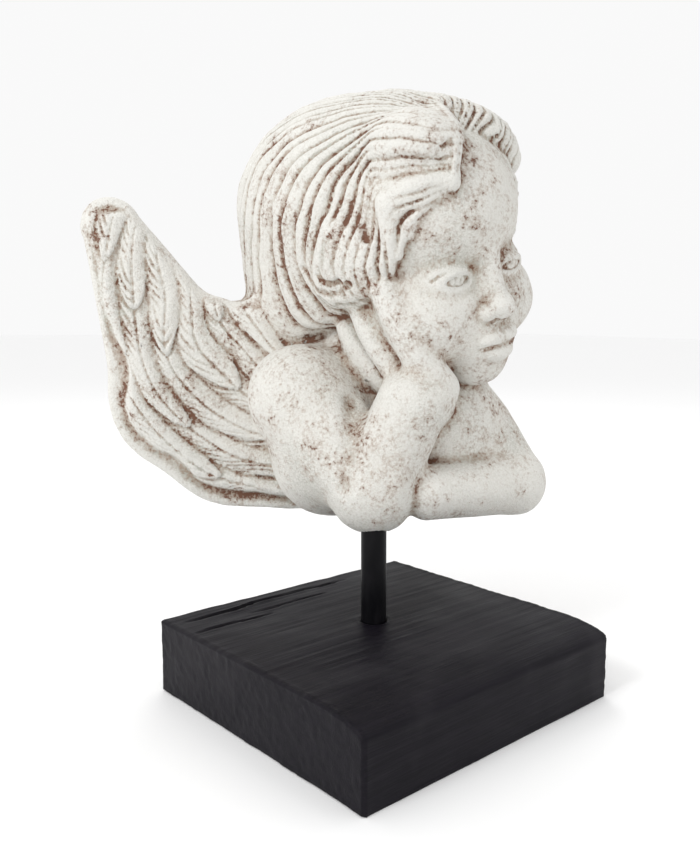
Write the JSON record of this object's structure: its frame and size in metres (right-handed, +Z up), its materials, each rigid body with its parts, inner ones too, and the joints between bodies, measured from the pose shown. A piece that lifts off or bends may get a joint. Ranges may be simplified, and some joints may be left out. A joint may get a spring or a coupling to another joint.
{
  "type": "putto statue on a stand",
  "caption": "Cherub bust with wings, cheek resting on one hand, cast in whitewashed stone and held up by a round rod in a square wooden block.",
  "frame": {"origin": "centre of the block's underside", "axes": "+Z up; the putto faces -Y, so its right side is at -X; the block's sides lie along X and Y"},
  "size_m": [0.2471, 0.2189, 0.2899],
  "materials": {
    "whitewashed_stone": "matt whitewash over red-brown cast stone",
    "black_metal": "satin black paint",
    "black_wood": "thin black paint with the grain showing"
  },
  "bodies": {
    "root": {"figure": "whitewashed_stone", "rod": "black_metal", "block": "black_wood"}
  },
  "joints": []
}
